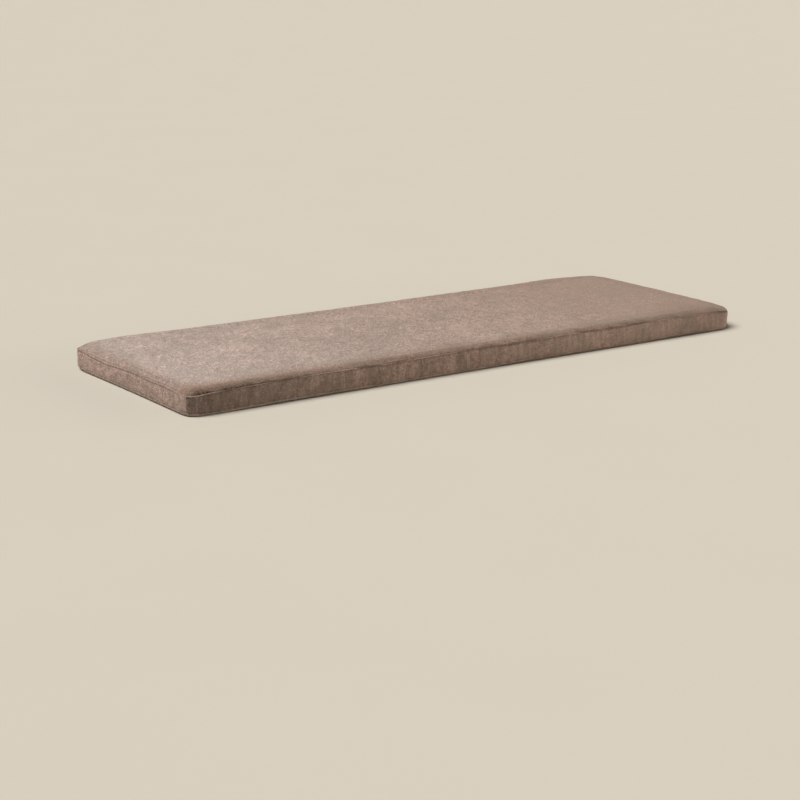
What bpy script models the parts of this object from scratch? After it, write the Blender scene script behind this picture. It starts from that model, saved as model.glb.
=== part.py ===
"""Bench cushion: one long, thin, fabric-covered pad of boxed construction.

A top panel and a bottom panel are sewn to a side band, and the whole is
filled, so it is a single closed form.  The panels roll over to the band seams,
the top is gently crowned, the sides are drawn in between the corners, and the
seams wander a little because soft fabric is never sewn quite straight.

Units are metres.  +Z is up, +X runs along the length, and the front long side
faces -Y.  The origin is the middle of the underside, which lies flat on z = 0.
"""
import math

import bmesh
import bpy

# ---------------------------------------------------------------- main sizes
LENGTH = 1.448          # overall, along X
WIDTH = 0.500           # overall, along Y
HEIGHT = 0.0508         # overall, top of the crown above the underside

# ------------------------------------------------------- section of the edge
BAND_BULGE = 0.0012     # how far the side band stands out past its two seams
WELT_INSET = 0.0007     # narrow sewn ridge, measured in from the outline
WELT_HALF = 0.0016      # half the height of that ridge
GROOVE_ABOVE = 0.0024   # inset of the sewn channel above the upper ridge
GROOVE_BELOW = 0.0020   # inset of the sewn channel below the upper ridge
PANEL_EDGE_Z = 0.0490   # height where the top panel's roll meets its crown
CROWN_INSET = 0.200     # inset at which the crown is level
LOWER_SEAM_Z = 0.0056   # mean height of the lower band seam

# ----------------------------------------------------------- mesh resolution
LONG_STEPS = 40         # divisions of each long side between its corners
SHORT_STEPS = 14        # divisions of each end between its corners
CORNER_STEPS = 8        # divisions of each rounded corner
MIN_RADIUS = 0.012      # corner radius that the innermost loops tend to

# Corners in plan, counter-clockwise from the front left one.
#   name, x side, y side, plan radius, upper seam height, top roll, bottom roll
CORNERS = (
    ("front_left", -1, -1, 0.0345, 0.0370, 0.026, 0.0089),
    ("front_right", 1, -1, 0.0570, 0.0385, 0.034, 0.0080),
    ("back_right", 1, 1, 0.0540, 0.0417, 0.029, 0.0095),
    ("back_left", -1, 1, 0.0535, 0.0392, 0.033, 0.0110),
)

# Sides, each running from its corner to the next one.
#   name, draw-in at the middle of the side
SIDES = (
    ("front", 0.0030),
    ("right", 0.0017),
    ("back", 0.0050),
    ("left", 0.0020),
)

# How the edge varies along each side.  "along" is X on the long sides and Y
# on the ends; the roll is how far in from the outline the panel curves over.
#   side, along, upper seam height, top roll, bottom roll
STATIONS = (
    ("front", -0.660, 0.0428, 0.024, 0.0060),
    ("front", -0.530, 0.0457, 0.021, 0.0130),
    ("front", -0.450, 0.0467, 0.018, 0.0130),
    ("front", -0.360, 0.0462, 0.017, 0.0125),
    ("front", -0.250, 0.0444, 0.016, 0.0075),
    ("front", -0.060, 0.0468, 0.017, 0.0075),
    ("front", 0.080, 0.0454, 0.018, 0.0130),
    ("front", 0.220, 0.0468, 0.020, 0.0100),
    ("front", 0.330, 0.0453, 0.022, 0.0100),
    ("front", 0.410, 0.0462, 0.024, 0.0080),
    ("front", 0.500, 0.0468, 0.030, 0.0110),
    ("front", 0.560, 0.0464, 0.034, 0.0140),
    ("front", 0.650, 0.0430, 0.038, 0.0085),
    ("right", -0.130, 0.0432, 0.032, 0.0090),
    ("right", 0.020, 0.0452, 0.030, 0.0100),
    ("right", 0.140, 0.0436, 0.029, 0.0100),
    ("back", 0.560, 0.0450, 0.015, 0.0100),
    ("back", 0.300, 0.0464, 0.012, 0.0110),
    ("back", 0.020, 0.0456, 0.011, 0.0090),
    ("back", -0.280, 0.0461, 0.012, 0.0110),
    ("back", -0.560, 0.0445, 0.015, 0.0100),
    ("left", 0.150, 0.0425, 0.024, 0.0100),
    ("left", 0.095, 0.0398, 0.024, 0.0100),
    ("left", 0.025, 0.0422, 0.022, 0.0095),
    ("left", -0.045, 0.0442, 0.022, 0.0095),
    ("left", -0.090, 0.0422, 0.022, 0.0100),
    ("left", -0.160, 0.0436, 0.024, 0.0100),
)

FABRIC_COLOUR = (0.255, 0.190, 0.148, 1.0)   # soft brown suede-like pile
FABRIC_ROUGHNESS = 0.95


def corner_radius(radius, inset):
    """Plan radius of a corner on a loop drawn in by inset."""
    spare = radius - MIN_RADIUS
    return MIN_RADIUS + spare * math.exp(-inset / spare)


def arc_centre(index, inset):
    """Centre and radius of one corner's arc on a loop drawn in by inset."""
    _, sx, sy, radius, *_ = CORNERS[index]
    r = corner_radius(radius, inset)
    return (sx * (LENGTH / 2 - inset - r), sy * (WIDTH / 2 - inset - r), r)


def columns():
    """One entry per mesh column round the outline.

    Each is (corner, turn, share): on a corner's arc turn runs 0 to 1 and share
    is None; on the side after that corner share runs between 0 and 1.
    """
    out = []
    for index in range(4):
        for k in range(CORNER_STEPS + 1):
            out.append((index, k / CORNER_STEPS, None))
        steps = LONG_STEPS if index % 2 == 0 else SHORT_STEPS
        for k in range(1, steps):
            out.append((index, 1.0, k / steps))
    return out


def plan_point(column, inset):
    """Plan position of a column on a loop drawn in by inset."""
    index, turn, share = column
    start = math.radians(180 + 90 * index)
    cx, cy, r = arc_centre(index, inset)
    angle = start + math.radians(90) * turn
    x, y = cx + r * math.cos(angle), cy + r * math.sin(angle)
    if share is None:
        return x, y
    nx, ny, nr = arc_centre((index + 1) % 4, inset)
    ex, ey = nx + nr * math.cos(angle), ny + nr * math.sin(angle)
    draw = SIDES[index][1] * math.sin(math.pi * share) ** 1.5
    draw *= max(0.0, 1.0 - inset / 0.12)
    return (x + (ex - x) * share - math.cos(angle) * draw,
            y + (ey - y) * share - math.sin(angle) * draw)


def travel(index, along):
    """Distance round the outline, in sides, of a place on side index."""
    half = LENGTH / 2 if index % 2 == 0 else WIDTH / 2
    sign = 1 if index < 2 else -1
    return index + 0.5 + 0.5 * sign * along / half


def edge_rows():
    """Every station and corner, in order round the outline."""
    names = [name for name, _ in SIDES]
    rows = [(float(i), z, top, bottom)
            for i, (_, _, _, _, z, top, bottom) in enumerate(CORNERS)]
    rows += [(travel(names.index(side), along), z, top, bottom)
             for side, along, z, top, bottom in STATIONS]
    return sorted(rows)


def edge_at(position, rows):
    """Seam height, top roll and bottom roll at a distance round the outline."""
    position %= 4.0
    ring = [(rows[-1][0] - 4.0,) + rows[-1][1:]] + rows
    ring.append((rows[0][0] + 4.0,) + rows[0][1:])
    for before, after in zip(ring, ring[1:]):
        if before[0] <= position <= after[0]:
            t = (position - before[0]) / (after[0] - before[0])
            t = t * t * (3 - 2 * t)
            return tuple(a + (b - a) * t
                         for a, b in zip(before[1:], after[1:]))
    raise ValueError("position is off the outline")


def section(seam_z, top_roll, bottom_roll):
    """Edge section at one column: (inset, height) from underside to crown."""
    low_z = LOWER_SEAM_Z + 0.30 * (bottom_roll - 0.010)
    pts = []
    # underside: from the flat rest up to the channel under the lower ridge
    for degrees in (0, 34, 62):
        t = math.radians(degrees)
        pts.append((GROOVE_BELOW + bottom_roll * (1 - math.sin(t)),
                    (low_z - WELT_HALF) * (1 - math.cos(t))))
    pts.append((GROOVE_BELOW, low_z - WELT_HALF))
    pts.append((WELT_INSET, low_z))
    pts.append((BAND_BULGE, low_z + WELT_HALF))
    # side band, standing out between its seams
    start, stop = low_z + WELT_HALF, seam_z - WELT_HALF
    for share in (0.22, 0.5, 0.78):
        pts.append((BAND_BULGE * (1 - math.sin(math.pi * share)),
                    start + (stop - start) * share))
    pts.append((BAND_BULGE, stop))
    pts.append((WELT_INSET, seam_z))
    top_z = seam_z + WELT_HALF
    pts.append((GROOVE_ABOVE, top_z))
    # top panel rolling over from the seam
    for degrees in (16, 33, 52, 71, 90):
        t = math.radians(degrees)
        pts.append((GROOVE_ABOVE + top_roll * (1 - math.cos(t)),
                    top_z + (PANEL_EDGE_Z - top_z) * math.sin(t)))
    # crown
    first = GROOVE_ABOVE + top_roll
    for share in (0.18, 0.38, 0.60, 0.80, 1.0):
        inset = first + (CROWN_INSET - first) * share
        rise = 1 - (1 - share) ** 2
        pts.append((inset, PANEL_EDGE_Z + (HEIGHT - PANEL_EDGE_Z) * rise))
    return pts


def fabric_material():
    mat = bpy.data.materials.new("cushion_fabric")
    mat.use_nodes = True
    shader = mat.node_tree.nodes["Principled BSDF"]
    shader.inputs["Base Color"].default_value = FABRIC_COLOUR
    shader.inputs["Roughness"].default_value = FABRIC_ROUGHNESS
    shader.inputs["Metallic"].default_value = 0.0
    mat.diffuse_color = FABRIC_COLOUR
    return mat


def build_cushion():
    rows = edge_rows()
    bm = bmesh.new()
    loops = None
    for column in columns():
        index, turn, share = column
        x, y = plan_point(column, 0.0)
        if share is None:
            # spread each corner's arc evenly about the corner itself
            here = travel(index, x if index % 2 == 0 else y)
            there = travel((index - 1) % 4, y if index % 2 == 0 else x)
            there = there - 4.0 if index == 0 else there
            position = there + (here - there) * turn
        else:
            position = travel(index, x if index % 2 == 0 else y)
        pts = section(*edge_at(position, rows))
        if loops is None:
            loops = [[] for _ in pts]
        for loop, (inset, z) in zip(loops, pts):
            px, py = plan_point(column, inset)
            loop.append(bm.verts.new((px, py, z)))
    for lower, upper in zip(loops, loops[1:]):
        count = len(lower)
        for k in range(count):
            n = (k + 1) % count
            bm.faces.new((lower[k], lower[n], upper[n], upper[k]))
    bm.faces.new(reversed(loops[0]))    # the flat underside
    bm.faces.new(loops[-1])             # the level middle of the crown
    bmesh.ops.triangulate(bm, faces=bm.faces[:])
    bmesh.ops.recalc_face_normals(bm, faces=bm.faces[:])
    mesh = bpy.data.meshes.new("cushion")
    bm.to_mesh(mesh)
    bm.free()
    mesh.materials.append(fabric_material())
    mesh.shade_smooth()
    mesh.set_sharp_from_angle(angle=math.radians(50))
    obj = bpy.data.objects.new("cushion", mesh)
    bpy.context.scene.collection.objects.link(obj)
    return obj


def main():
    for obj in list(bpy.data.objects):
        bpy.data.objects.remove(obj, do_unlink=True)
    build_cushion()


main()
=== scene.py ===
import math

import bpy
import numpy as np
from mathutils import Matrix, Vector


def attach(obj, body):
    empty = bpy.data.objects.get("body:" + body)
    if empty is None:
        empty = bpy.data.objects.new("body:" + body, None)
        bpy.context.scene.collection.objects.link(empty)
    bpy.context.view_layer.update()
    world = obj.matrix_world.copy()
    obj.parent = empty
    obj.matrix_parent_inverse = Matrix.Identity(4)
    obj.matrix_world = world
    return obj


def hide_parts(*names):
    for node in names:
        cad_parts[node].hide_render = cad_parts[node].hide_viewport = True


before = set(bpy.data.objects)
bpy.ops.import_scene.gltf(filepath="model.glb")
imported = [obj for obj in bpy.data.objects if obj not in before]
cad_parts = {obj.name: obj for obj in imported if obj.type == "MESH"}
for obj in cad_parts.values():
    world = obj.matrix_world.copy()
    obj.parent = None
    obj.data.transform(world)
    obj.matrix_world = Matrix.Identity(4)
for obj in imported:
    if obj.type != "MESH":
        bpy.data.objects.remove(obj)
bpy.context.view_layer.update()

# ------------------------------------------------------------------ main sizes
LENGTH, WIDTH, HEIGHT = 1.448, 0.500, 0.0508      # overall, metres
PANEL_EDGE_Z = 0.0490                             # where the top roll meets the crown
BAND_BULGE = 0.0012                               # side band past its seams
CELL = 0.0075                                     # cloth mesh spacing
RECT_INSET = 0.034                                # inner rectangle that the edge rings meet
SWELL = 0.0020                                    # how much smaller the cover starts
CAP = 0.0040                                      # most that a cloth point may move
WAVES = (0.9, 0.5, 0.15, 0.7)                     # share kept of the cloth's broad waves, by side
BUCKLES = (0.45, 0.4, 0.15, 0.4)                  # share kept of its small buckles, by side

# Corners, counter-clockwise from the front left.
#   x side, y side, plan radius, upper seam height, top roll, bottom roll
CORNERS = (
    (-1, -1, 0.0345, 0.0392, 0.026, 0.0089),
    (1, -1, 0.0570, 0.0362, 0.032, 0.0095),
    (1, 1, 0.0540, 0.0417, 0.029, 0.0095),
    (-1, 1, 0.0535, 0.0395, 0.033, 0.0220),
)
DRAW_IN = (0.0030, 0.0017, 0.0050, 0.0020)        # front, right, back, left

# How the edge varies along each side; along is X on sides 0 and 2, Y on 1 and 3.
#   side, along, upper seam height, top roll, bottom roll
STATIONS = (
    (0, -0.690, 0.0420, 0.027, 0.0065),
    (0, -0.655, 0.0436, 0.028, 0.0060),
    (0, -0.590, 0.0443, 0.029, 0.0090),
    (0, -0.530, 0.0456, 0.028, 0.0130),
    (0, -0.455, 0.0468, 0.026, 0.0132),
    (0, -0.385, 0.0464, 0.026, 0.0135),
    (0, -0.310, 0.0452, 0.026, 0.0100),
    (0, -0.245, 0.0443, 0.026, 0.0075),
    (0, -0.165, 0.0456, 0.026, 0.0085),
    (0, -0.050, 0.0468, 0.026, 0.0072),
    (0, 0.020, 0.0464, 0.026, 0.0090),
    (0, 0.095, 0.0450, 0.027, 0.0132),
    (0, 0.160, 0.0463, 0.027, 0.0105),
    (0, 0.225, 0.0468, 0.028, 0.0100),
    (0, 0.330, 0.0451, 0.028, 0.0102),
    (0, 0.405, 0.0462, 0.029, 0.0080),
    (0, 0.500, 0.0468, 0.031, 0.0100),
    (0, 0.560, 0.0464, 0.034, 0.0140),
    (0, 0.615, 0.0446, 0.036, 0.0100),
    (0, 0.655, 0.0430, 0.038, 0.0075),
    (1, -0.130, 0.0432, 0.032, 0.0090),
    (1, 0.020, 0.0452, 0.030, 0.0100),
    (1, 0.140, 0.0436, 0.029, 0.0100),
    (2, 0.600, 0.0446, 0.016, 0.0095),
    (2, 0.430, 0.0460, 0.013, 0.0105),
    (2, 0.300, 0.0464, 0.012, 0.0112),
    (2, 0.150, 0.0453, 0.011, 0.0095),
    (2, 0.020, 0.0456, 0.011, 0.0090),
    (2, -0.150, 0.0463, 0.011, 0.0110),
    (2, -0.330, 0.0455, 0.012, 0.0105),
    (2, -0.480, 0.0458, 0.013, 0.0095),
    (2, -0.630, 0.0438, 0.016, 0.0100),
    (3, 0.190, 0.0446, 0.028, 0.0145),
    (3, 0.150, 0.0421, 0.024, 0.0100),
    (3, 0.098, 0.0396, 0.024, 0.0100),
    (3, 0.030, 0.0418, 0.022, 0.0095),
    (3, -0.045, 0.0444, 0.022, 0.0095),
    (3, -0.090, 0.0420, 0.022, 0.0100),
    (3, -0.160, 0.0437, 0.024, 0.0100),
    (3, -0.205, 0.0420, 0.025, 0.0092),
)

# Upright joins in the side band: side, along, crest past the band, crest half-width
JOINS = (
    (3, 0.2370, 0.0070, 0.021),
    (1, None, 0.0012, 0.014),                     # None: at that side's first corner
    (2, None, 0.0012, 0.014),
    (3, None, 0.0024, 0.016),
    (0, -0.183, 0.0000, 0.012),
)

# How much painted shade darkens the top where it turns down to its seam:
#   side, (places along the side, share at the seam), reach in from the edge
ROLL_SHADE = (
    (0, ((-0.724, -0.713, -0.700, -0.580, -0.400, 0.100, 0.600, 0.724),
         (0.30, 0.46, 0.80, 0.84, 0.64, 0.60, 0.58, 0.42)), 0.080),
    (1, ((-0.25, 0.25), (0.25, 0.25)), 0.050),
    (2, ((-0.724, 0.724), (0.20, 0.20)), 0.040),
    (3, ((-0.25, 0.15, 0.25), (0.22, 0.24, 0.34)), 0.080),
)

# Uneven filling: x, y, reach along, reach across, lift of the top
FILL = (
    (-0.600, 0.215, 0.095, 0.070, 0.0026),
    (0.560, 0.240, 0.075, 0.050, 0.0020),
    (0.665, -0.165, 0.050, 0.050, 0.0018),
)
SLACK = (-0.712, 0.238, 0.020, 0.0405, 0.85)       # slack corner: x, y, reach, height it falls to, share

HALF = np.array([LENGTH / 2, WIDTH / 2, LENGTH / 2, WIDTH / 2])
ACROSS = np.array([WIDTH / 2, LENGTH / 2, WIDTH / 2, LENGTH / 2])
ALONG = np.array([[1, 0], [0, 1], [-1, 0], [0, -1]], float)
OUT = np.array([[0, -1], [1, 0], [0, 1], [-1, 0]], float)
RADIUS = np.array([c[2] for c in CORNERS])


# --------------------------------------------------------------- small helpers
def hermite(ts, vs, t):
    """Smooth curve through (ts, vs), sampled at t; vs may hold several columns."""
    ts, vs = np.asarray(ts, float), np.asarray(vs, float)
    if vs.ndim == 1:
        vs = vs[:, None]
    slope = np.empty_like(vs)
    slope[1:-1] = (vs[2:] - vs[:-2]) / (ts[2:] - ts[:-2])[:, None]
    slope[0] = (vs[1] - vs[0]) / (ts[1] - ts[0])
    slope[-1] = (vs[-1] - vs[-2]) / (ts[-1] - ts[-2])
    k = np.clip(np.searchsorted(ts, t, side="right") - 1, 0, len(ts) - 2)
    h = (ts[k + 1] - ts[k])
    x = ((t - ts[k]) / h)[:, None]
    h = h[:, None]
    a = 2 * x**3 - 3 * x**2 + 1
    b = x**3 - 2 * x**2 + x
    c = -2 * x**3 + 3 * x**2
    d = x**3 - x**2
    return a * vs[k] + b * h * slope[k] + c * vs[k + 1] + d * h * slope[k + 1]


def smooth(x):
    x = np.clip(x, 0, 1)
    return x * x * (3 - 2 * x)


def bell(x):
    return np.exp(-x * x)


def side_lengths(i):
    """Outline length of side i from its middle to each corner's middle."""
    rl, rr = RADIUS[i], RADIUS[(i + 1) % 4]
    return (HALF[i] - rl + rl * math.pi / 4, HALF[i] - rr + rr * math.pi / 4)


def travel(side, q):
    """Distance round the outline in sides, 0 at the front left corner's middle."""
    a, b = side_lengths(side)
    q = np.asarray(q, float)
    return side + 0.5 + 0.5 * np.where(q < 0, q / a, q / b)


def edge_table():
    rows = [(float(i), z, top, bottom) for i, (_, _, _, z, top, bottom) in enumerate(CORNERS)]
    for side, along, z, top, bottom in STATIONS:
        q = along if side in (0, 1) else -along
        rows.append((float(travel(side, q)), z, top, bottom))
    rows.sort()
    rows = np.array(rows)
    before, after = rows[-3:].copy(), rows[:3].copy()
    before[:, 0] -= 4
    after[:, 0] += 4
    return np.vstack([before, rows, after])


def outline(side, q, inset):
    """Plan points and outward directions for columns (side, q) drawn in by inset."""
    side = np.asarray(side)
    q = np.asarray(q, float)
    inset = np.broadcast_to(inset, q.shape).astype(float)
    a, b = HALF[side], ACROSS[side]
    rl, rr = RADIUS[side], RADIUS[(side + 1) % 4]
    lo, hi = -(a - rl), (a - rr)
    left, right = q < lo, q > hi
    phi = np.where(left, (lo - q) / rl, np.where(right, (q - hi) / rr, 0.0))
    sign = np.where(left, -1.0, 1.0)
    r = np.where(left, rl, rr)
    cq = np.where(left, lo, np.where(right, hi, q))
    al, ou = ALONG[side], OUT[side]
    normal = ou * np.cos(phi)[:, None] + al * (sign * np.sin(phi))[:, None]
    on_arc = (left | right)[:, None]
    centre = al * cq[:, None] + ou * np.where(left | right, b - r, 0.0)[:, None]
    arc = centre + normal * (r - inset)[:, None]
    straight = al * cq[:, None] + ou * (b - inset)[:, None]
    point = np.where(on_arc, arc, straight)
    share = np.clip((q - lo) / (hi - lo), 0, 1)
    draw = np.array(DRAW_IN)[side] * np.sin(math.pi * share) ** 1.5
    draw = draw * np.clip(1 - inset / 0.12, 0, 1)
    return point - ou * draw[:, None], normal


def top_height(inset, seam_z, top_roll):
    """Height of the finished top panel at a distance in from the outline."""
    x = np.clip(inset / top_roll, 0, 1)
    roll = np.sqrt(np.clip(1 - (1 - x) ** 2, 0, 1))
    edge = seam_z + (PANEL_EDGE_Z - seam_z) * roll
    crown = 1 - (1 - np.clip(inset / 0.2, 0, 1)) ** 2
    return edge + (HEIGHT - PANEL_EDGE_Z) * crown


# ------------------------------------------------------------ the cover's grid
NX = 2 * round((LENGTH - 2 * RECT_INSET) / CELL / 2)
NY = 2 * round((WIDTH - 2 * RECT_INSET) / CELL / 2)
CELLS = (NX, NY, NX, NY)
RECT = np.array([LENGTH / 2 - RECT_INSET, WIDTH / 2 - RECT_INSET])
COLS = 2 * (NX + NY)


def column_grid():
    side, q, rect = [], [], []
    for i in range(4):
        h = RECT[i % 2]
        a, b = side_lengths(i)
        c = -h + 2 * h * np.arange(CELLS[i]) / CELLS[i]
        k = np.where(c < 0, a / h, b / h)
        q.append(c * (1 + (k - 1) * np.abs(c / h) ** 2))
        side.append(np.full(CELLS[i], i))
        rect.append(ALONG[i] * c[:, None] + OUT[i] * RECT[(i + 1) % 2])
    return np.concatenate(side), np.concatenate(q), np.concatenate(rect)


SIDE, Q, RECT_XY = column_grid()
EDGE = edge_table()
TRAVEL = np.array([float(travel(s, q)) for s, q in zip(SIDE, Q)])
SEAM_Z, TOP_ROLL, BOTTOM_ROLL = hermite(EDGE[:, 0], EDGE[:, 1:], TRAVEL).T
LOW_Z = 0.0056 + 0.30 * (BOTTOM_ROLL - 0.010)

FLAT_ROWS = 3                 # segments of the bottom roll
BAND_ROWS = 7                 # segments of the side band
TOP_INSETS = (0.0022, 0.0055, 0.0100, 0.0150, 0.0205, 0.0270, RECT_INSET)
ROW_LOW = FLAT_ROWS
ROW_SEAM = FLAT_ROWS + BAND_ROWS
ROWS = ROW_SEAM + len(TOP_INSETS) + 1


def ring_rows():
    """Finished shape of the edge: array rows x columns x 3, underside to rectangle."""
    out = []
    for k in range(FLAT_ROWS):
        t = math.radians(90) * k / FLAT_ROWS
        xy, _ = outline(SIDE, Q, 0.0012 + BOTTOM_ROLL * (1 - math.sin(t)))
        out.append(np.c_[xy, LOW_Z * (1 - math.cos(t))])
    for k in range(BAND_ROWS + 1):
        share = k / BAND_ROWS
        xy, _ = outline(SIDE, Q, BAND_BULGE * (1 - math.sin(math.pi * share)))
        out.append(np.c_[xy, LOW_Z + (SEAM_Z - LOW_Z) * share])
    for inset in TOP_INSETS:
        xy, _ = outline(SIDE, Q, BAND_BULGE + inset)
        w = (inset / RECT_INSET) ** 2
        xy = xy * (1 - w) + RECT_XY * w
        out.append(np.c_[xy, top_height(inset_of(xy), SEAM_Z, TOP_ROLL)])
    return np.array(out)


def inset_of(xy):
    """Distance in from the outline, taking the corners' radii into account."""
    xy = np.asarray(xy, float)
    x, y = xy[..., 0], xy[..., 1]
    corner = np.where(y < 0, np.where(x < 0, 0, 1), np.where(x < 0, 3, 2))
    r = RADIUS[corner]
    px = np.abs(x) - (LENGTH / 2 - r)
    py = np.abs(y) - (WIDTH / 2 - r)
    far = np.hypot(np.maximum(px, 0), np.maximum(py, 0))
    return r - far - np.minimum(np.maximum(px, py), 0)


def nearest_edge(xy):
    """Seam height and top roll of the outline nearest to interior points."""
    x, y = xy[:, 0], xy[:, 1]
    best = None
    for i in range(4):
        along = x * ALONG[i][0] + y * ALONG[i][1]
        gap = ACROSS[i] - (x * OUT[i][0] + y * OUT[i][1])
        a, b = side_lengths(i)
        t = travel(i, np.clip(along, -a, b))
        vals = hermite(EDGE[:, 0], EDGE[:, 1:3], t)
        w = np.exp(-gap / 0.012)[:, None]
        best = (w, w * vals) if best is None else (best[0] + w, best[1] + w * vals)
    return (best[1] / best[0]).T


def inner_grid():
    """Finished shape of the top inside the rectangle, (NX+1) x (NY+1) x 3."""
    gx = np.linspace(-RECT[0], RECT[0], NX + 1)
    gy = np.linspace(-RECT[1], RECT[1], NY + 1)
    x, y = np.meshgrid(gx, gy, indexing="ij")
    xy = np.c_[x.ravel(), y.ravel()]
    seam, roll = nearest_edge(xy)
    z = top_height(inset_of(xy), seam, roll)
    return np.c_[xy, z].reshape(NX + 1, NY + 1, 3)


def grid_border(nx, ny):
    """(i, j) of a grid's border points, in column order."""
    out = [(i, 0) for i in range(nx)]
    out += [(nx, j) for j in range(ny)]
    out += [(nx - i, ny) for i in range(nx)]
    out += [(0, ny - j) for j in range(ny)]
    return np.array(out)


BORDER = grid_border(NX, NY)


# ------------------------------------------------------------------ simulation
def make_mesh(name, verts, faces):
    mesh = bpy.data.meshes.new(name)
    mesh.from_pydata([tuple(v) for v in verts], [], faces)
    mesh.update()
    obj = bpy.data.objects.new(name, mesh)
    bpy.context.scene.collection.objects.link(obj)
    return obj


def sim_index():
    """Vertex numbers: ring rows, then the grid's inner points."""
    ring = np.arange(ROWS * COLS).reshape(ROWS, COLS)
    grid = np.full((NX + 1, NY + 1), -1)
    grid[BORDER[:, 0], BORDER[:, 1]] = ring[-1]
    inner = (NX - 1) * (NY - 1)
    grid[1:-1, 1:-1] = np.arange(inner).reshape(NX - 1, NY - 1) + ROWS * COLS
    return ring, grid


def quads(a):
    return np.stack([a[:-1, :-1], a[1:, :-1], a[1:, 1:], a[:-1, 1:]], -1).reshape(-1, 4)


def ring_quads(a):
    loop = np.concatenate([a, a[:, :1]], 1)
    return np.stack([loop[:-1, :-1], loop[:-1, 1:], loop[1:, 1:], loop[1:, :-1]], -1).reshape(-1, 4)


def soften(rows, sigma):
    """Rows of a closed ring, blurred along the ring; sigma is in columns."""
    reach = int(math.ceil(3 * sigma))
    out = np.zeros_like(rows)
    total = 0.0
    for k in range(-reach, reach + 1):
        w = math.exp(-0.5 * (k / sigma) ** 2)
        out += w * np.roll(rows, k, axis=1)
        total += w
    return out / total


def simulate(ring, grid):
    """Inflates the cover between its held seams; returns the moved ring and grid."""
    ri, gi = sim_index()
    faces = np.vstack([ring_quads(ri), quads(gi)])
    start = np.vstack([ring.reshape(-1, 3), grid[1:-1, 1:-1].reshape(-1, 3)])
    obj = make_mesh("cover_sim", start, [tuple(map(int, f)) for f in faces])
    hold = np.zeros(len(start))
    hold[ri[0]] = 1
    hold[ri[ROW_LOW]] = 1
    hold[ri[ROW_SEAM]] = 1
    hold[ri[ROW_SEAM + 4:]] = 0.12
    hold[gi[1:-1, 1:-1].ravel()] = 0.22
    calm = np.zeros(len(start))               # 1 where the cloth has no slack to buckle
    calm[ri[ROW_SEAM + 4:]] = 0.5
    calm[ri[ROW_SEAM + 6:]] = 1
    calm[gi[1:-1, 1:-1].ravel()] = 1
    for name, weight in (("hold", hold), ("calm", calm)):
        group = obj.vertex_groups.new(name=name)
        for w in np.unique(weight):
            if w > 0:
                group.add([int(i) for i in np.nonzero(weight == w)[0]], float(w), "REPLACE")
    mod = obj.modifiers.new("cover", "CLOTH")
    s = mod.settings
    s.quality = 6
    s.mass = 0.25
    s.tension_stiffness = 25
    s.compression_stiffness = 25
    s.shear_stiffness = 8
    s.bending_stiffness = 0.6
    s.use_pressure = True
    s.uniform_pressure_force = 4.0
    s.vertex_group_shrink = "calm"
    s.shrink_min = -0.016
    s.shrink_max = -0.001
    s.vertex_group_mass = "hold"
    s.pin_stiffness = 1.2
    s.effector_weights.gravity = 0
    mod.collision_settings.use_collision = False
    mod.collision_settings.use_self_collision = False
    scene = bpy.context.scene
    mod.point_cache.frame_start, mod.point_cache.frame_end = 1, 20
    for f in range(1, 21):
        scene.frame_set(f)
    dg = bpy.context.evaluated_depsgraph_get()
    done = obj.evaluated_get(dg).data
    co = np.empty(len(done.vertices) * 3)
    done.vertices.foreach_get("co", co)
    co = co.reshape(-1, 3)
    bpy.data.objects.remove(obj, do_unlink=True)
    scene.frame_set(1)
    move = co - start
    far = np.linalg.norm(move, axis=1, keepdims=True)
    move *= CAP * np.tanh(far / CAP) / np.maximum(far, 1e-9)
    print("cloth moved: mean %.2f mm, most %.2f mm, after the cap %.2f mm" % (
        far.mean() * 1000, far.max() * 1000, np.linalg.norm(move, axis=1).max() * 1000))
    # keep the broad swelling, and only part of the waves and of the small buckles
    ring_move = move[: ROWS * COLS].reshape(ROWS, COLS, 3)
    waves, buckles = (soften(np.array([v])[:, SIDE, None], 5.0) for v in (WAVES, BUCKLES))
    broad, middle, small = (soften(ring_move, w) for w in (16.0, 5.0, 0.7))
    ring_move[:] = broad + (middle - broad) * waves + (small - middle) * buckles
    co = start + move
    new_ring = co[: ROWS * COLS].reshape(ROWS, COLS, 3)
    new_grid = grid.copy()
    new_grid[BORDER[:, 0], BORDER[:, 1]] = new_ring[-1]
    new_grid[1:-1, 1:-1] = co[ROWS * COLS:].reshape(NX - 1, NY - 1, 3)
    return new_ring, new_grid


RING, GRID = ring_rows(), inner_grid()
RING[-1] = GRID[BORDER[:, 0], BORDER[:, 1]]
# start a little smaller: the panels swell out between their held seams
small_ring, small_grid = RING.copy(), GRID.copy()
k = np.arange(ROWS)
lift = np.zeros(ROWS)
lift[ROW_SEAM:] = smooth((k[ROW_SEAM:] - ROW_SEAM) / 4.0)
small_ring[:, :, 2] -= SWELL * lift[:, None]
small_grid[:, :, 2] -= SWELL
small_grid[BORDER[:, 0], BORDER[:, 1]] = small_ring[-1]
_, normal = outline(SIDE, Q, 0.0)
share = (k - ROW_LOW) / BAND_ROWS
tuck = np.where((share > 0) & (share < 1), np.sin(math.pi * np.clip(share, 0, 1)), 0)
small_ring[:, :, :2] -= (0.0016 * tuck)[:, None, None] * normal[None]
RING, GRID = simulate(small_ring, small_grid)


# ------------------------------------------------------- fine surface of the edge
FINE = 4                                          # fine columns to a cloth column
JOIN_WINDOW = 2.0                                 # cloth columns drawn towards a join
NEAR_LOW = (-2.6, -1.8, -1.1, -0.5, 0.0, 0.5, 1.1, 1.8, 2.6)
NEAR_TOP = (-4.4, -3.6, -2.9, -2.3, -1.7, -1.1, -0.55, 0.0, 0.55, 1.1, 1.7, 2.3, 2.9, 3.6, 4.4)
ON_ROLL = (5.6, 7.6, 10.4, 13.2, 15.6, 18.4)       # mm from the upper seam
ROLL_ROWS, MID_ROWS = 4, 8


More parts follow.
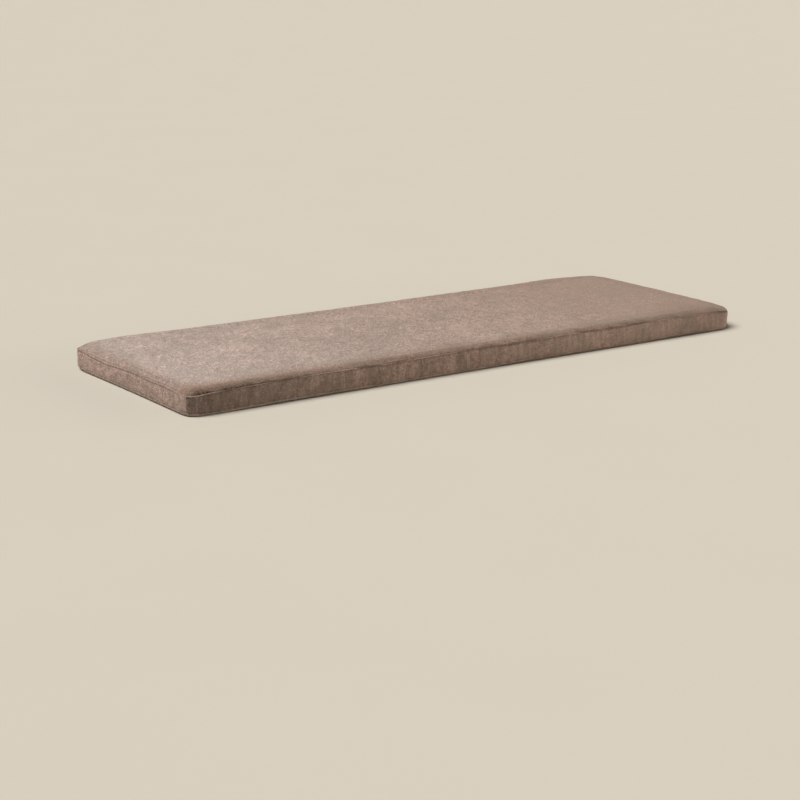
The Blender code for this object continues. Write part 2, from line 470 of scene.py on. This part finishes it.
def catmull(a, p):
    """Smooth samples of rows a (rows x columns x 3) at fractional column numbers."""
    n = a.shape[1]
    i = np.floor(p).astype(int)
    x = (p - i)[None, :, None]
    p0, p1, p2, p3 = (a[:, (i + k) % n] for k in (-1, 0, 1, 2))
    return 0.5 * (2 * p1 + (p2 - p0) * x + (2 * p0 - 5 * p1 + 4 * p2 - p3) * x**2
                  + (3 * p1 - p0 - 3 * p2 + p3) * x**3)


def dense(a, steps=10):
    """Rows resampled closely, with each column's arc length from the first row."""
    chord = np.linalg.norm(np.diff(a, axis=0), axis=2).mean(axis=1)
    ts = np.concatenate([[0], np.cumsum(chord)])
    parts = [np.linspace(ts[k], ts[k + 1], steps, endpoint=False) for k in range(len(ts) - 1)]
    t = np.concatenate(parts + [[ts[-1]]])
    flat = hermite(ts, a.reshape(len(a), -1), t).reshape(len(t), -1, 3)
    arc = np.cumsum(np.linalg.norm(np.diff(flat, axis=0), axis=2), axis=0)
    return flat, np.vstack([np.zeros(flat.shape[1]), arc]), steps


def along_columns(a, targets):
    """Points of each column at the given arc lengths (targets: rows x columns)."""
    flat, arc, _ = a
    out = np.empty((len(targets), flat.shape[1], 3))
    for c in range(flat.shape[1]):
        for j in range(3):
            out[:, c, j] = np.interp(targets[:, c], arc[:, c], flat[:, c, j])
    return out


def row_targets(a):
    """Arc lengths of the fine rows, and of the two seams, in every column."""
    flat, arc, steps = a
    low, up, end = arc[ROW_LOW * steps], arc[ROW_SEAM * steps], arc[-1]
    first = low + NEAR_LOW[0] / 1000
    rows = [first * f for f in (0.0, 0.36, 0.66, 0.87)]
    rows += [low + d / 1000 for d in NEAR_LOW]
    a0, a1 = low + NEAR_LOW[-1] / 1000, up + NEAR_TOP[0] / 1000
    rows += [a0 + (a1 - a0) * k / (MID_ROWS + 1) for k in range(1, MID_ROWS + 1)]
    rows += [up + d / 1000 for d in NEAR_TOP + ON_ROLL]
    return np.array(rows), low, up, end


def join_columns():
    """Cloth column number of each upright join, on a whole fine column."""
    out = []
    for side, along, crest, reach in JOINS:
        t = float(side) if along is None else float(travel(side, along))
        c = float(np.interp(t, np.r_[TRAVEL, 4.0], np.arange(COLS + 1)))
        out.append((round(c * FINE) / FINE, crest, reach))
    return out


JOIN_COLS = join_columns()
UNIFORM = np.arange(COLS * FINE) / FINE
GATHERED = UNIFORM.copy()
for c, _, _ in JOIN_COLS:
    gap = (UNIFORM - c + COLS / 2) % COLS - COLS / 2
    near = np.abs(gap) < JOIN_WINDOW
    GATHERED[near] = c + np.sign(gap[near]) * JOIN_WINDOW * (np.abs(gap[near]) / JOIN_WINDOW) ** 1.7

even, drawn = dense(catmull(RING, UNIFORM)), dense(catmull(RING, GATHERED % COLS))
t_even, _, _, end_even = row_targets(even)
t_drawn, LOW_ARC, UP_ARC, _ = row_targets(drawn)
fine_even, fine_drawn = along_columns(even, t_even), along_columns(drawn, t_drawn)
E = t_drawn - UP_ARC                               # metres above (+) the upper seam
F = t_drawn - LOW_ARC                              # metres above (+) the lower seam
spread = smooth((E - 0.007) / 0.009)[:, :, None]   # the drawn columns even out up the roll
P = fine_drawn * (1 - spread) + fine_even * spread
N_ROWS, N_COLS = P.shape[:2]

step = np.linalg.norm(np.diff(np.concatenate([P, P[:, :1]], 1), axis=1), axis=2)
S_AT = np.concatenate([[0], np.cumsum(step[13 + MID_ROWS])[:-1]])   # metres round the outline
ROUND = step[13 + MID_ROWS].sum()
JOIN_S = [(float(np.interp(c, UNIFORM, S_AT)), crest, reach) for c, crest, reach in JOIN_COLS]


def gap_to(s):
    return (S_AT - s + ROUND / 2) % ROUND - ROUND / 2


def surface_normals(p):
    dc = np.roll(p, -1, axis=1) - np.roll(p, 1, axis=1)
    dr = np.gradient(p, axis=0)
    n = np.cross(dc, dr)
    return n / np.linalg.norm(n, axis=2, keepdims=True)


def pull_marks(rng, count, e, width, depth, reach, lean, start=0.0012):
    """Small creases that run away from a seam; e is the distance from it."""
    out = np.zeros(e.shape)
    for s in np.sort(rng.uniform(0, ROUND, count)):
        w = rng.uniform(*width)
        d = rng.uniform(*depth) * rng.choice((1.0, 1.0, -0.6))
        far = rng.uniform(*reach)
        slope = rng.uniform(-lean, lean)
        c = np.nonzero(np.abs(gap_to(s)) < 4 * w + 2 * abs(slope) * far)[0]
        ee = e[:, c]
        x = (gap_to(s)[c][None] - slope * ee) / w
        fall = smooth((ee - 0.0) / start) * smooth((far - ee) / (0.75 * far))
        out[:, c] -= d * bell(x) * fall
    return out


def swells(rng, count, width, height):
    """Broad upright swells and hollows round the side band."""
    out = np.zeros(N_COLS)
    for s in rng.uniform(0, ROUND, count):
        out += rng.uniform(-1, 1) * rng.uniform(*height) * bell(gap_to(s) / rng.uniform(*width))
    return out


def wander(rng, count, narrow, wide, amount):
    """A factor that drifts about 1 round the outline."""
    out = np.zeros(N_COLS)
    for s in rng.uniform(0, ROUND, count):
        out += rng.uniform(-1, 1) * bell(gap_to(s) / rng.uniform(narrow, wide))
    return (1 + amount * out / max(out.std(), 1e-9))[None].clip(0.1, 2.0)


rng = np.random.default_rng(57)
span = (UP_ARC - LOW_ARC)[None]
share = np.clip(F / span, 0, 1)
on_band = smooth(F / 0.004) * smooth(-E / 0.004)
lift = np.zeros(P.shape[:2])
# upper seam: a narrow raised seam with a soft dip on each side
tight = wander(rng, 90, 0.020, 0.060, 0.30)        # how hard the upper stitching pulls
above = wander(rng, 90, 0.015, 0.050, 0.40)
below = wander(rng, 90, 0.015, 0.050, 0.40)
at = np.interp(GATHERED % COLS, np.arange(COLS + 1), np.r_[TRAVEL, 4.0])
ON_END = (((at > 3) & (at < float(travel(*JOINS[0][:2])))) | ((at > 1) & (at < 2))).astype(float)[None]
APART = 0.0008 * ON_END                            # the channels sit wider apart on the ends
t0, t1 = (float(travel(3, q)) for q in (0.190, JOINS[0][1]))
LOST = 0.8 * (smooth((at - t0) / (t1 - t0) * 1.4) * (at < t1))[None]   # the seam fades before one corner
lift += (1 - LOST) * (
    0.00070 * tight * (1 - 0.55 * ON_END) * bell(E / 0.0009) - 0.00085 * above * bell((E - 0.0023 - APART) / 0.0013)
    - 0.00070 * below * bell((E + 0.0022 + APART) / 0.0012))
# a slack fold that runs along the roll above one end's seam
t0, t1 = (float(travel(3, q)) for q in (-0.045, 0.165))
FOLD = bell((E - 0.0153 - 0.0010 * np.sin(9 * np.pi * (at[None] - t0))) / 0.0022) * smooth((at - t0) / 0.05) * smooth((t1 - at) / 0.08)
lift -= 0.0010 * FOLD
# lower seam, turned a little under
lift += 0.00040 * bell(F / 0.0008) - 0.00070 * bell((F - 0.0019) / 0.0011) - 0.00050 * bell((F + 0.0017) / 0.0011)
# creases that the stitching pulls
lift += pull_marks(rng, 190, E, (0.0020, 0.0045), (0.00015, 0.0007), (0.005, 0.016), 0.5)
lift += pull_marks(rng, 170, -E, (0.0018, 0.0042), (0.00015, 0.0006), (0.006, 0.020), 0.4)
lift += pull_marks(rng, 150, F, (0.0018, 0.0040), (0.00015, 0.0006), (0.005, 0.015), 0.4)
# soft upright folds of the side band
lift += (swells(rng, 240, (0.006, 0.016), (0.0001, 0.00045))[None]
         * np.sin(math.pi * share) ** 0.7 * on_band)
# upright joins, with the crest of the two seam allowances
JOIN_LINE = np.zeros(P.shape[:2])
for s, crest, reach in JOIN_S:
    x = gap_to(s)[None]
    up_fade = np.where(E > 0, smooth(1 - E / 0.014), 1.0) * smooth((F + 0.006) / 0.008)
    up_fade = up_fade * (0.4 + 0.6 * smooth(F / 0.022))
    lift += crest * np.clip(1 - np.abs(x) / reach, 0, 1) ** 1.5 * up_fade
    here = smooth(F / 0.0022) * smooth(-E / 0.0022)
    lift -= 0.0011 * bell(x / 0.0011) * here
    lift += 0.0003 * (bell((x - 0.003) / 0.0014) + bell((x + 0.003) / 0.0014)) * here
    if crest > 0:
        lift += 0.0003 * bell(x / 0.0026) * bell(E / 0.0016)
    JOIN_LINE = np.maximum(JOIN_LINE, bell(x / 0.0013) * here)
lift *= smooth((N_ROWS - 1 - np.arange(N_ROWS)) / 3.0)[:, None]
lift *= smooth(np.arange(N_ROWS) / 3.0)[:, None]
P = P + surface_normals(P) * lift[:, :, None]
P[0, :, 2] = 0.0
P[:, :, 2] = np.maximum(P[:, :, 2], 0.0)

# coarse rows from the fine edge to the inner rectangle, at the cloth's own columns
c_even = (even[0][:, ::FINE], even[1][:, ::FINE], even[2])
start_arc, end_arc = t_even[-1, ::FINE], end_even[::FINE]
COARSE = along_columns(c_even, np.array([start_arc + (end_arc - start_arc) * f for f in (0.36, 0.68)]))

# underside: a ring, then a coarse grid, all flat
low_xy, _ = outline(SIDE, Q, 0.0012 + BOTTOM_ROLL + 0.009)
UNDER_RING = np.c_[low_xy, np.zeros(COLS)]
UX, UY = NX // 2, NY // 2
ux, uy = np.meshgrid(np.linspace(-RECT[0], RECT[0], UX + 1), np.linspace(-RECT[1], RECT[1], UY + 1), indexing="ij")
UNDER = np.stack([ux, uy, np.zeros_like(ux)], -1)


def fan(outer, inner, factor):
    """Triangles from a ring of factor*n points to a ring of n points inside it."""
    n = len(inner)
    out = []
    half = factor // 2
    for c in range(n):
        a, b = inner[c], inner[(c + 1) % n]
        f = [outer[(c * factor + k) % len(outer)] for k in range(factor + 1)]
        for k in range(factor):
            out.append((f[k], f[k + 1], a if k < half else b))
            if k == half - 1:
                out.append((a, f[k + 1], b))
    return out


verts, tris, rects = [], [], []


def add(points):
    base = sum(len(v) for v in verts)
    verts.append(points.reshape(-1, 3))
    return np.arange(base, base + points.size // 3).reshape(points.shape[:-1])


i_fine = add(P)
i_coarse = add(COARSE)
i_in = add(GRID[1:-1, 1:-1])
i_grid = np.full((NX + 1, NY + 1), -1)
i_grid[1:-1, 1:-1] = i_in
i_edge = add(GRID[BORDER[:, 0], BORDER[:, 1]])
i_grid[BORDER[:, 0], BORDER[:, 1]] = i_edge
i_under_ring = add(UNDER_RING)
i_under = add(UNDER)
under_border = grid_border(UX, UY)
i_under_edge = i_under[under_border[:, 0], under_border[:, 1]]

rects += ring_quads(i_fine).tolist()
rects += ring_quads(np.vstack([i_coarse, i_edge[None]])).tolist()
rects += quads(i_grid).tolist()
rects += quads(i_under)[:, ::-1].tolist()
tris += fan(i_fine[-1], i_coarse[0], FINE)
tris += [t[::-1] for t in fan(i_fine[0], i_under_ring, FINE)]
tris += [t[::-1] for t in fan(i_under_ring, i_under_edge, 2)]
verts = np.vstack(verts)

# bring the crown to its full height
inner_z = GRID[:, :, 2].max()
top_share = smooth((inset_of(verts[:, :2]) - 0.008) / 0.030) * (verts[:, 2] > 0.02)
verts[:, 2] += (HEIGHT - inner_z) * top_share
into = smooth((inset_of(verts[:, :2]) - 0.0008) / 0.006) * (verts[:, 2] > 0.02)
for x, y, along, across, lift in FILL:
    verts[:, 2] += lift * bell(np.hypot((verts[:, 0] - x) / along, (verts[:, 1] - y) / across)) * into
x, y, reach, level, share_down = SLACK
near = bell(np.hypot(verts[:, 0] - x, verts[:, 1] - y) / reach)
verts[:, 2] -= share_down * near * np.maximum(verts[:, 2] - level, 0)

cushion = make_mesh("cushion_soft", verts, [tuple(map(int, f)) for f in rects + tris])
cushion.data.shade_smooth()

fine_count = N_ROWS * N_COLS
values = {"band": np.zeros(len(verts)), "ridge": np.zeros(len(verts)), "dip": np.zeros(len(verts)),
          "end": np.zeros(len(verts)), "roll": np.zeros(len(verts))}
values["band"][:fine_count] = (smooth((F + 0.001) / 0.002) * smooth((0.0005 - E) / 0.0015)).ravel()
# painted highlight along the seam ridges and painted shade in the channels beside them, the joins' grooves and the
# fold: the "ridge" and "dip" attributes
values["ridge"][:fine_count] = np.maximum((1 - LOST) * bell(E / 0.0010), 0.4 * bell(F / 0.0008)).ravel()
values["dip"][:fine_count] = np.clip(
    (1 - LOST) * (bell((E - 0.0022 - APART) / 0.0010) + bell((E + 0.0021 + APART) / 0.0010))
    + bell((F - 0.0018) / 0.0010) + JOIN_LINE + 0.9 * FOLD, 0, 1).ravel()
# painted shade on the top's roll, kept in the "roll" attribute
for side, shade_at_seam, reach in ROLL_SHADE:
    gap = ACROSS[side] - verts[:, :2] @ OUT[side] - BAND_BULGE
    q = verts[:, :2] @ ALONG[side]
    here = np.interp(q, *shade_at_seam) * np.clip(1 - gap / reach, 0, 1) ** 1.5
    if side == 0:                                  # painted shade on the front roll, made uneven in small waves
        shade_waves = 0.5 * np.sin(q * 76 + 1.3) + 0.35 * np.sin(q * 134 + 0.4) + 0.4 * np.sin(q * 46 + 2.1)
        here *= 1 + 0.20 * shade_waves * smooth((q + 0.15) / 0.30) * smooth((0.015 - gap) / 0.02 + 1)
    values["roll"] = 1 - (1 - values["roll"]) * (1 - here)
values["roll"][:fine_count] *= smooth((E + 0.0004 + 0.0030 * np.clip(above - 0.9, 0, 0.6) + 0.0040 * LOST) / (0.0020 + 0.0060 * LOST)).ravel()
values["roll"][verts[:, 2] < 0.02] = 0
values["end"][:fine_count] = np.broadcast_to(ON_END, P.shape[:2]).ravel()
for name, v in values.items():
    attr = cushion.data.attributes.new(name, "FLOAT", "POINT")
    attr.data.foreach_set("value", v.astype(np.float32))
print("cushion: %d points, %d triangles" % (len(verts), 2 * len(rects) + len(tris)))
print("heights", verts[:, 2].min(), verts[:, 2].max())


# -------------------------------------------------------------------- materials
class Nodes:
    """Short helpers for building a node tree."""

    def __init__(self, name):
        self.mat = bpy.data.materials.new(name)
        self.mat.use_nodes = True
        self.tree = self.mat.node_tree
        self.bsdf = self.tree.nodes["Principled BSDF"]
        self.coords = self.tree.nodes.new("ShaderNodeTexCoord").outputs["Object"]

    def put(self, socket, value):
        if isinstance(value, bpy.types.NodeSocket):
            self.tree.links.new(value, socket)
        else:
            socket.default_value = value

    def stretch(self, scale, turn=0.0):
        first = self.tree.nodes.new("ShaderNodeMapping")
        first.inputs["Rotation"].default_value = (0, 0, math.radians(turn))
        self.put(first.inputs["Vector"], self.coords)
        n = self.tree.nodes.new("ShaderNodeMapping")
        n.inputs["Scale"].default_value = scale
        self.put(n.inputs["Vector"], first.outputs["Vector"])
        return n.outputs["Vector"]

    def noise(self, scale, detail=2.0, rough=0.5, distort=0.0, at=None):
        n = self.tree.nodes.new("ShaderNodeTexNoise")
        n.inputs["Scale"].default_value = scale
        n.inputs["Detail"].default_value = detail
        n.inputs["Roughness"].default_value = rough
        n.inputs["Distortion"].default_value = distort
        self.put(n.inputs["Vector"], at or self.coords)
        return n.outputs["Fac"]

    def math(self, op, a, b=0.0, c=0.0, clamp=False):
        n = self.tree.nodes.new("ShaderNodeMath")
        n.operation = op
        n.use_clamp = clamp
        for i, v in enumerate((a, b, c)):
            self.put(n.inputs[i], v)
        return n.outputs[0]

    def span(self, v, a, b, lo, hi):
        n = self.tree.nodes.new("ShaderNodeMapRange")
        n.clamp = True
        self.put(n.inputs["Value"], v)
        for k, x in (("From Min", a), ("From Max", b), ("To Min", lo), ("To Max", hi)):
            self.put(n.inputs[k], x)
        return n.outputs["Result"]

    def blend(self, fac, a, b):
        n = self.tree.nodes.new("ShaderNodeMix")
        n.data_type = "RGBA"
        self.put(n.inputs[0], fac)
        self.put(n.inputs[6], a)
        self.put(n.inputs[7], b)
        return n.outputs[2]

    def shade(self, colour, value):
        n = self.tree.nodes.new("ShaderNodeVectorMath")
        n.operation = "SCALE"
        self.put(n.inputs[0], colour if isinstance(colour, bpy.types.NodeSocket) else colour[:3])
        self.put(n.inputs["Scale"], value)
        return n.outputs[0]

    def tint(self, colour, by):
        n = self.tree.nodes.new("ShaderNodeVectorMath")
        n.operation = "MULTIPLY"
        self.put(n.inputs[0], colour)
        n.inputs[1].default_value = by
        return n.outputs[0]

    def attribute(self, name):
        n = self.tree.nodes.new("ShaderNodeAttribute")
        n.attribute_type = "GEOMETRY"
        n.attribute_name = name
        return n.outputs["Fac"]

    def bump(self, height, distance, strength=1.0, under=None):
        n = self.tree.nodes.new("ShaderNodeBump")
        n.inputs["Strength"].default_value = strength
        n.inputs["Distance"].default_value = distance
        self.put(n.inputs["Height"], height)
        if under is not None:
            self.put(n.inputs["Normal"], under)
        return n.outputs["Normal"]


def suede():
    m = Nodes("soft_suede")
    band, ridge, dip, end, roll = (m.attribute(n) for n in ("band", "ridge", "dip", "end", "roll"))
    lying = m.stretch((1.0, 0.46, 1.0), 34)
    upright = m.stretch((1.0, 1.0, 0.22))
    clouds = m.noise(5.5, 2.0, 0.5)
    patches = m.noise(17.0, 3.0, 0.6)
    brushed = m.noise(50.0, 3.0, 0.6, 1.2, lying)
    curls = m.noise(110.0, 2.0, 0.5, 1.6, lying)
    flecks = m.noise(250.0, 2.0, 0.6, 0.8, lying)
    grain = m.noise(450.0, 2.0, 0.6, 0.0, lying)
    pile = m.noise(1100.0, 1.0, 0.5)
    streaks = m.noise(80.0, 2.0, 0.55, 0.5, upright)
    fine_streaks = m.noise(240.0, 2.0, 0.5, 0.3, upright)
    blots = m.noise(95.0, 3.0, 0.6, 0.8)

    pink, grey = (0.330, 0.224, 0.178, 1), (0.318, 0.227, 0.179, 1)
    colour = m.blend(m.span(patches, 0.38, 0.62, 0, 1), grey, pink)
    # painted light: the top is painted paler and greyer towards the left end, where the light falls stronger
    along = m.tree.nodes.new("ShaderNodeSeparateXYZ")
    m.put(along.inputs[0], m.coords)
    left_light = m.math("MULTIPLY", m.span(along.outputs["X"], -0.72, 0.60, 1, 0), m.math("SUBTRACT", 1.0, band))
    left_light_veil = m.math("MULTIPLY", left_light, m.span(roll, 0.05, 0.45, 1, 0))
    colour = m.blend(left_light_veil, colour, m.tint(colour, (1.0, 1.15, 1.30)))
    lines = m.math("ABSOLUTE", m.math("SUBTRACT", curls, 0.5))
    threads = m.math("ABSOLUTE", m.math("SUBTRACT", m.noise(230.0, 2.0, 0.5, 1.2, lying), 0.5))
    quick = m.math("MULTIPLY", m.span(lines, 0.0, 0.085, 0.74, 1.06), m.span(threads, 0.0, 0.10, 0.81, 1.07))
    # long wavy strokes that the brushed pile keeps, stronger in some places
    wavy = m.math("SINE", m.math("MULTIPLY", m.noise(30.0, 2.0, 0.5, 1.0, lying), 42.0))
    quick = m.math("MULTIPLY", quick, m.math("ADD", m.math("MULTIPLY", wavy, m.span(patches, 0.35, 0.65, 0.05, 0.17)), 1.0))
    for noise, lo, hi in ((grain, 0.64, 1.36), (flecks, 0.88, 1.12), (pile, 0.94, 1.06)):
        quick = m.math("MULTIPLY", quick, m.span(noise, 0.28, 0.72, lo, hi))
    # the surface is calmer towards one end, where it has been stroked flat
    flat = m.math("MULTIPLY", m.span(along.outputs["X"], 0.22, 0.52, 0, 0.48), m.math("SUBTRACT", 1.0, band))
    front = m.math("MULTIPLY", band, m.math("SUBTRACT", 1.0, end))
    calmer = m.math("ADD", flat, m.math("MULTIPLY", front, m.span(along.outputs["X"], -0.20, 0.45, 0.20, 0.60)))
    far_end = m.math("MULTIPLY", m.math("MULTIPLY", band, end), m.span(along.outputs["X"], 0.0, 0.5, 0.0, 0.55))
    calmer = m.math("ADD", calmer, far_end)
    quick = m.math("MULTIPLY", m.math("SUBTRACT", quick, 1.0), m.math("SUBTRACT", 1.0, calmer))
    tone = m.span(brushed, 0.28, 0.72, 0.88, 1.12)
    for noise, lo, hi in ((patches, 0.90, 1.10), (clouds, 0.92, 1.08)):
        tone = m.math("MULTIPLY", tone, m.span(noise, 0.28, 0.72, lo, hi))
    tone = m.math("ADD", m.math("MULTIPLY", m.math("SUBTRACT", tone, 1.0), m.math("SUBTRACT", 1.0, flat)), 1.0)
    # a broad, slightly darker zone left of the middle of the top
    zone = m.math("MULTIPLY", m.span(along.outputs["X"], -0.62, -0.38, 0, 1), m.span(along.outputs["X"], -0.30, 0.08, 1, 0))
    zone = m.math("MULTIPLY", zone, m.math("SUBTRACT", 1.0, band))
    tone = m.math("MULTIPLY", tone, m.math("SUBTRACT", 1.0, m.math("MULTIPLY", zone, 0.037)))
    front_bars = m.math("MULTIPLY", m.span(streaks, 0.32, 0.68, 0.82, 1.18), m.span(fine_streaks, 0.3, 0.7, 0.90, 1.10))
    end_bars = m.math("MULTIPLY", m.span(blots, 0.32, 0.68, 0.88, 1.12), m.span(streaks, 0.3, 0.7, 0.96, 1.04))
    bars = m.math("ADD", front_bars, m.math("MULTIPLY", end, m.math("SUBTRACT", end_bars, front_bars)))
    bars = m.math("MULTIPLY", m.math("SUBTRACT", bars, 1.0), band)
    bars = m.math("MULTIPLY", bars, m.span(along.outputs["X"], -0.20, 0.35, 1.0, 0.60))
    quick = m.math("ADD", quick, m.math("MULTIPLY", bars, 0.65))
    tone = m.math("MULTIPLY", tone, m.math("ADD", m.math("MULTIPLY", bars, 0.40), 1.0))
    # painted shade in the seam channels, the joins' grooves and the fold, stronger on the ends
    groove_shade = m.math("MULTIPLY", dip, m.math("ADD", m.math("MULTIPLY", end, 0.16), 0.13))
    groove_shade = m.math("MULTIPLY", groove_shade, m.span(along.outputs["X"], 0.10, 0.50, 1.0, 0.5))
    # painted highlight on the seam ridge, patchy, kept off the ends, where the ridge is painted a little darker
    ridge_highlight = m.math("MULTIPLY", m.span(patches, 0.30, 0.70, 0.06, 0.30), m.math("SUBTRACT", 1.0, m.math("MULTIPLY", end, 0.9)))
    ridge_highlight = m.math("MULTIPLY", ridge_highlight, m.span(along.outputs["X"], -0.68, -0.45, 0.55, 1.0))
    ridge_highlight = m.math("SUBTRACT", ridge_highlight, m.math("MULTIPLY", end, 0.16))
    seam = m.math("SUBTRACT", m.math("MULTIPLY", ridge, ridge_highlight), groove_shade)
    tone = m.math("MULTIPLY", tone, m.math("ADD", seam, 1.0))
    # painted light and shade on the side band: painted shade towards the front-left corner, painted light rising along
    # the long sides to the right, and the ends painted lighter towards the back
    long_side_light = m.math("ADD", m.span(along.outputs["X"], -0.66, -0.47, -0.25, 0.06), m.span(along.outputs["X"], -0.45, 0.30, 0.0, 0.23))
    end_band_light = m.span(along.outputs["Y"], 0.0, 0.20, 0.22, 0.30)
    band_light = m.math("ADD", long_side_light, m.math("MULTIPLY", end, m.math("SUBTRACT", end_band_light, long_side_light)))
    band_light = m.math("MULTIPLY", band, band_light)
    tone = m.math("MULTIPLY", tone, m.math("ADD", band_light, 1.0))
    # painted shade on the panel's roll, uneven along its line and a little warmer
    painted_roll_shade = m.math("MULTIPLY", roll, m.span(m.math("ADD", flecks, brushed), 0.8, 1.2, 0.80, 1.20), clamp=True)
    tone = m.math("MULTIPLY", tone, m.math("SUBTRACT", 1.0, painted_roll_shade))
    colour = m.blend(painted_roll_shade, colour, m.tint(colour, (1.10, 0.99, 0.90)))
    # painted light: the top painted lighter towards the left end; the band painted darker all along
    tone = m.math("MULTIPLY", tone, m.math("ADD", m.math("MULTIPLY", left_light, 0.395), 0.665))
    colour = m.blend(band, colour, m.tint(colour, (1.0, 1.03, 1.08)))
    # the fine grain changes how light the pile is, and hardly its hue
    even = m.shade((0.290, 0.232, 0.205), m.math("MULTIPLY", quick, tone))
    total = m.tree.nodes.new("ShaderNodeVectorMath")
    m.put(total.inputs[0], m.shade(colour, tone))
    m.put(total.inputs[1], even)
    m.put(m.bsdf.inputs["Base Color"], total.outputs[0])
    m.put(m.bsdf.inputs["Roughness"], m.span(flecks, 0.3, 0.7, 0.98, 0.86))

    normal = m.bump(patches, 0.004, 0.25)
    normal = m.bump(brushed, 0.0022, 0.5, normal)
    normal = m.bump(m.math("MULTIPLY", streaks, band), 0.0018, 0.5, normal)
    normal = m.bump(lines, 0.0014, 0.6, normal)
    normal = m.bump(flecks, 0.0012, 0.6, normal)
    normal = m.bump(grain, 0.0006, 0.6, normal)
    m.put(m.bsdf.inputs["Normal"], normal)

    m.bsdf.inputs["Metallic"].default_value = 0.0
    m.bsdf.inputs["Specular IOR Level"].default_value = 0.15
    m.bsdf.inputs["Sheen Weight"].default_value = 0.22
    m.bsdf.inputs["Sheen Roughness"].default_value = 0.40
    m.bsdf.inputs["Sheen Tint"].default_value = (1.0, 0.90, 0.80, 1)
    return m.mat


cushion.data.materials.append(suede())


def plain(name, colour, roughness):
    m = Nodes(name)
    grain = m.noise(3.0, 3.0, 0.5)
    m.put(m.bsdf.inputs["Base Color"], m.shade(colour, m.span(grain, 0.3, 0.7, 0.995, 1.005)))
    m.bsdf.inputs["Roughness"].default_value = roughness
    m.bsdf.inputs["Specular IOR Level"].default_value = 0.2
    return m.mat


# ------------------------------------------------------------------------ stage
floor = make_mesh("floor", [(-60, -60, 0), (60, -60, 0), (60, 60, 0), (-60, 60, 0)], [(0, 1, 2, 3)])
floor.data.materials.append(plain("studio_floor", (0.475, 0.440, 0.378, 1), 0.95))

def studio_world(horizon, glow, zenith, facing=(0.91, -0.41, 0.0)):
    """Pale all round at the horizon, dimmer overhead, with a soft glow on one side."""
    world = bpy.data.worlds.new("studio")
    bpy.context.scene.world = world
    world.use_nodes = True
    tree = world.node_tree
    link = tree.links.new
    way = tree.nodes.new("ShaderNodeTexCoord").outputs["Generated"]
    split = tree.nodes.new("ShaderNodeSeparateXYZ")
    link(way, split.inputs[0])

    def ramp(value, lo, hi, first, last):
        n = tree.nodes.new("ShaderNodeMapRange")
        n.interpolation_type = "SMOOTHSTEP"
        link(value, n.inputs["Value"])
        for k, x in (("From Min", lo), ("From Max", hi), ("To Min", first), ("To Max", last)):
            n.inputs[k].default_value = x
        return n.outputs["Result"]

    def combine(op, a, b):
        n = tree.nodes.new("ShaderNodeMath")
        n.operation = op
        for i, v in enumerate((a, b)):
            if isinstance(v, bpy.types.NodeSocket):
                link(v, n.inputs[i])
            else:
                n.inputs[i].default_value = v
        return n.outputs[0]

    dot = tree.nodes.new("ShaderNodeVectorMath")
    dot.operation = "DOT_PRODUCT"
    link(way, dot.inputs[0])
    dot.inputs[1].default_value = facing
    low = ramp(split.outputs["Z"], 0.20, 0.45, horizon, zenith)
    side = combine("MULTIPLY", ramp(dot.outputs["Value"], 0.0, 1.0, 0.0, 1.0), ramp(split.outputs["Z"], 0.15, 0.50, glow, 0.0))
    tint = tree.nodes.new("ShaderNodeVectorMath")
    tint.operation = "SCALE"
    tint.inputs[0].default_value = (1.0, 0.928, 0.795)
    link(combine("ADD", low, side), tint.inputs["Scale"])
    link(tint.outputs[0], tree.nodes["Background"].inputs["Color"])


studio_world(0.680, 2.6, 0.02)

key = bpy.data.lights.new("key", "SUN")
key.energy = 4.55
key.angle = math.radians(42)
key.color = (1.0, 0.985, 0.965)
key_obj = bpy.data.objects.new("key", key)
key_obj.rotation_mode = "QUATERNION"
key_obj.rotation_quaternion = Vector((-0.56, 0.10, 1.0)).to_track_quat("Z", "Y")
bpy.context.scene.collection.objects.link(key_obj)


AZ, EL, ROLL = -0.63042, 0.25630, 0.01179
DIST, TARGET, FOCAL = 3.51859, (-0.36762, -0.42953, 0.025), 1857.70
back = Vector((math.sin(AZ) * math.cos(EL), -math.cos(AZ) * math.cos(EL), math.sin(EL)))
right = (-back).cross(Vector((0, 0, 1))).normalized()
up = right.cross(-back)
r = right * math.cos(ROLL) + up * math.sin(ROLL)
u = -right * math.sin(ROLL) + up * math.cos(ROLL)
cam_data = bpy.data.cameras.new("camera")
cam_data.sensor_width = 36.0
cam_data.lens = FOCAL / 800 * 36.0
cam_data.clip_start, cam_data.clip_end = 0.05, 200
cam = bpy.data.objects.new("camera", cam_data)
place = Vector(TARGET) + back * DIST
cam.matrix_world = Matrix((
    (r.x, u.x, back.x, place.x),
    (r.y, u.y, back.y, place.y),
    (r.z, u.z, back.z, place.z),
    (0, 0, 0, 1)))
bpy.context.scene.collection.objects.link(cam)
bpy.context.scene.camera = cam
bpy.context.scene.view_settings.view_transform = "Standard"

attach(cushion, "root")
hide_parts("cushion")
